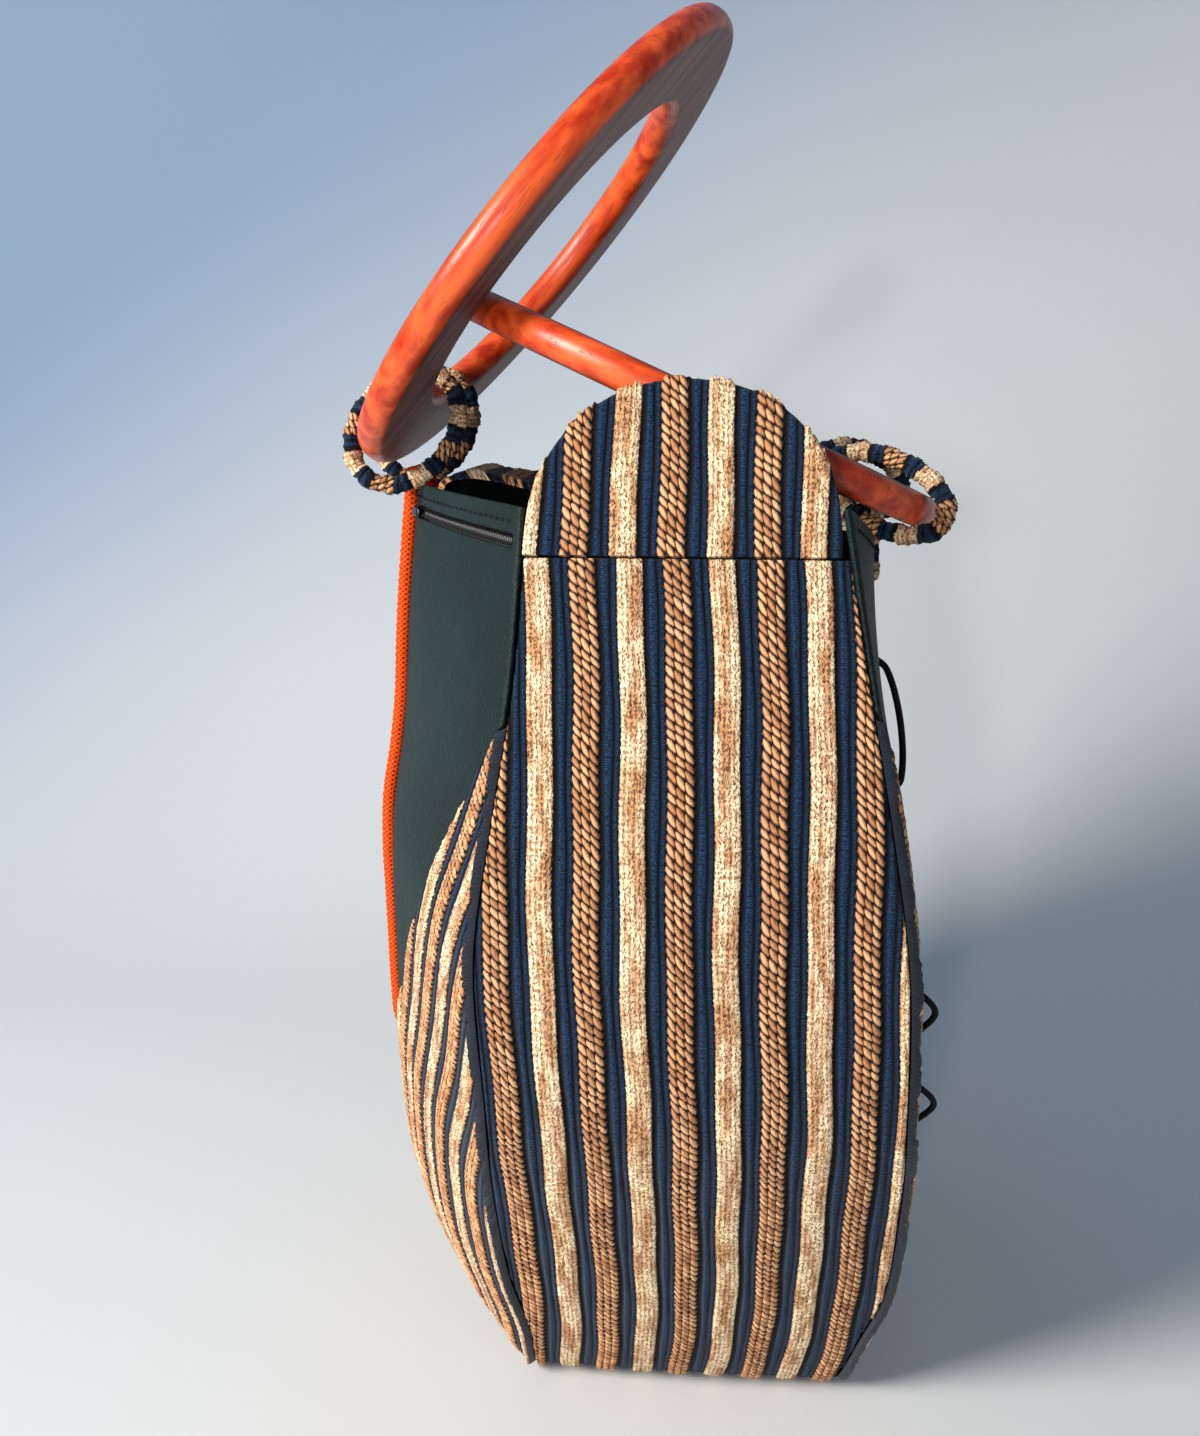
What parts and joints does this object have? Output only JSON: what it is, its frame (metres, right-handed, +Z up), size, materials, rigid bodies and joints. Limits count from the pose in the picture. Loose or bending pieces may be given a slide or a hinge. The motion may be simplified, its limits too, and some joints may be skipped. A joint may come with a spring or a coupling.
{
  "type": "handbag",
  "caption": "Upright soft handbag of striped woven fabric and dark green leather, with rounded end tabs, a strap over the mouth and round wooden ring handles in cord loops.",
  "frame": {"origin": "middle of the flat underside, on the surface that the bag stands on", "axes": "+Z up, +X along the bag's width towards its near end, +Y from the front with the orange cord to the back"},
  "size_m": [0.2564, 0.1934, 0.4361],
  "materials": {
    "leather": "pebbled, satin",
    "striped_fabric": "woven stripes of tan braid, beige chenille and navy rib",
    "stained_wood": "red-orange stain, satin varnish",
    "orange_cord": "twisted cord",
    "black_elastic": "round elastic cord",
    "zip_tape": "woven tape",
    "zip_coil": "nylon coil",
    "zip_metal": "dark enamel"
  },
  "bodies": {
    "root": {"front_leather_near": "leather", "front_leather_far": "leather", "back_leather": "leather", "front_fabric_near": "striped_fabric", "front_fabric_far": "striped_fabric", "back_fabric": "striped_fabric", "gusset_strip": "striped_fabric", "near_tab": "striped_fabric", "far_tab": "striped_fabric", "closing_strap": "striped_fabric", "front_near_loop": "striped_fabric", "front_far_loop": "striped_fabric", "back_near_loop": "striped_fabric", "back_far_loop": "striped_fabric", "front_handle": "stained_wood", "back_handle": "stained_wood", "piping_cord": "orange_cord", "back_lace": "black_elastic", "zipper_tape": "zip_tape", "zipper_coil": "zip_coil", "zipper_slider": "zip_metal"}
  },
  "joints": []
}
